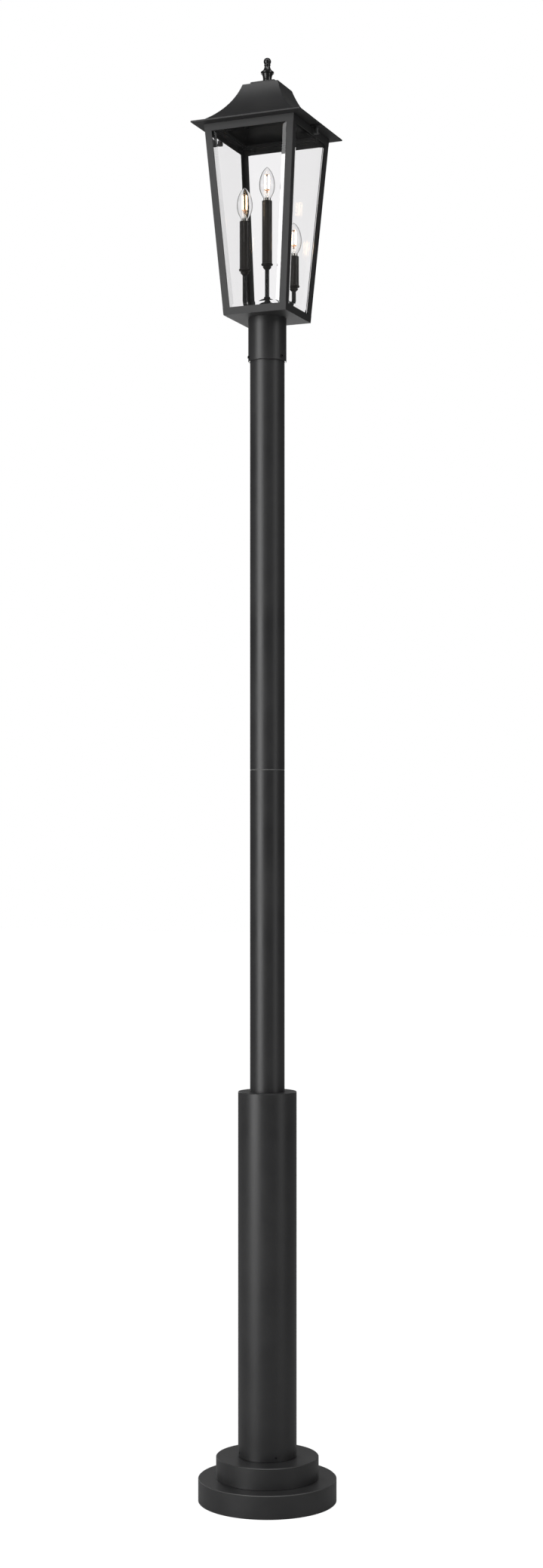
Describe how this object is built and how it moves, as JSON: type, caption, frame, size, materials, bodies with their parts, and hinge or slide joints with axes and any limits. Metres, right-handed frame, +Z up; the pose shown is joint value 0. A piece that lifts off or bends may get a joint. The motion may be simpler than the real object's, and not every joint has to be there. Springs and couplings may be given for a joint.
{
  "type": "garden lamp post",
  "caption": "Tall round garden lamp post on a two-step round base, with a tapered square glass lantern, hollow-curved roof and candle lights inside.",
  "frame": {"origin": "middle of the base's underside, on the ground", "axes": "+Z up along the post; -Y is the lantern's front pane, +X its right pane"},
  "size_m": [0.3048, 0.3048, 3.1783],
  "materials": {
    "black_powder_coat": "fine-textured satin",
    "plated_steel": "zinc plated",
    "black_oxide_screw": "black oxide",
    "cast_aluminium": "as cast",
    "clear_pane_glass": "bevelled, polished",
    "clear_bulb_glass": "clear",
    "nickel_cap": "nickel plated",
    "warm_filament": "phosphor strips on thin wire frame",
    "socket_plastic": "moulded"
  },
  "bodies": {
    "post": {"anchor_plate": "plated_steel", "base_hub": "cast_aluminium", "hub_bolts": "plated_steel", "base_disc": "black_powder_coat", "step_disc": "black_powder_coat", "lower_sleeve": "black_powder_coat", "sleeve_set_screws": "black_oxide_screw", "sleeve_top_ring": "black_powder_coat", "lower_post": "black_powder_coat", "post_coupler": "plated_steel", "upper_post": "black_powder_coat"},
    "lantern": {"fitter_cup": "black_powder_coat", "fitter_set_screws": "black_oxide_screw", "floor_pan": "black_powder_coat", "cage_foot_frame": "black_powder_coat", "corner_bar_front_left": "black_powder_coat", "corner_bar_front_right": "black_powder_coat", "corner_bar_back_left": "black_powder_coat", "corner_bar_back_right": "black_powder_coat", "cage_head_frame": "black_powder_coat", "pane_front": "clear_pane_glass", "pane_back": "clear_pane_glass", "pane_left": "clear_pane_glass", "pane_right": "clear_pane_glass", "glass_clips": "plated_steel", "cluster_hub": "black_powder_coat", "centre_stem": "black_powder_coat", "stem_nut": "black_powder_coat", "lock_nut": "plated_steel", "left_arm": "black_powder_coat", "right_arm": "black_powder_coat", "cup_centre": "black_powder_coat", "candle_centre": "black_powder_coat", "socket_centre": "socket_plastic", "cup_left": "black_powder_coat", "candle_left": "black_powder_coat", "socket_left": "socket_plastic", "cup_right": "black_powder_coat", "candle_right": "black_powder_coat", "socket_right": "socket_plastic"},
    "bulb_centre": {"bulb_glass_centre": "clear_bulb_glass", "bulb_cap_centre": "nickel_cap", "bulb_filaments_centre": "warm_filament"},
    "bulb_left": {"bulb_glass_left": "clear_bulb_glass", "bulb_cap_left": "nickel_cap", "bulb_filaments_left": "warm_filament"},
    "bulb_right": {"bulb_glass_right": "clear_bulb_glass", "bulb_cap_right": "nickel_cap", "bulb_filaments_right": "warm_filament"},
    "roof": {"roof_shell": "black_powder_coat", "eave_plate": "black_powder_coat", "cap_plate": "black_powder_coat", "roof_studs": "black_powder_coat", "finial_rod": "plated_steel", "finial_rod_nut": "plated_steel"},
    "finial": {"finial": "black_powder_coat"},
    "thumb_nut_left": {"thumb_nut_left": "black_powder_coat"},
    "thumb_nut_right": {"thumb_nut_right": "black_powder_coat"}
  },
  "joints": [
    {"name": "lantern_turn", "type": "hinge", "parent": "post", "child": "lantern", "pos_m": [0, 0, 2.6], "axis": [0, 0, 1], "range_deg": [-180, 180]},
    {"name": "roof_lift", "type": "slide", "parent": "lantern", "child": "roof", "axis": [0, 0, 1], "range_m": [0, 0.16]},
    {"name": "finial_turn", "type": "hinge", "parent": "roof", "child": "finial", "pos_m": [0, 0, 3.13], "axis": [0, 0, 1], "continuous": true},
    {"name": "thumb_nut_left_turn", "type": "hinge", "parent": "lantern", "child": "thumb_nut_left", "pos_m": [-0.116, 0, 3.005], "axis": [0, 0, 1], "continuous": true},
    {"name": "thumb_nut_right_turn", "type": "hinge", "parent": "lantern", "child": "thumb_nut_right", "pos_m": [0.116, 0, 3.005], "axis": [0, 0, 1], "continuous": true},
    {"name": "bulb_centre_turn", "type": "hinge", "parent": "lantern", "child": "bulb_centre", "pos_m": [0, 0, 2.8724], "axis": [0, 0, 1], "continuous": true},
    {"name": "bulb_left_turn", "type": "hinge", "parent": "lantern", "child": "bulb_left", "pos_m": [-0.03748, -0.03748, 2.8216], "axis": [0, 0, 1], "continuous": true},
    {"name": "bulb_right_turn", "type": "hinge", "parent": "lantern", "child": "bulb_right", "pos_m": [0.04313, 0.04313, 2.756], "axis": [0, 0, 1], "continuous": true}
  ]
}
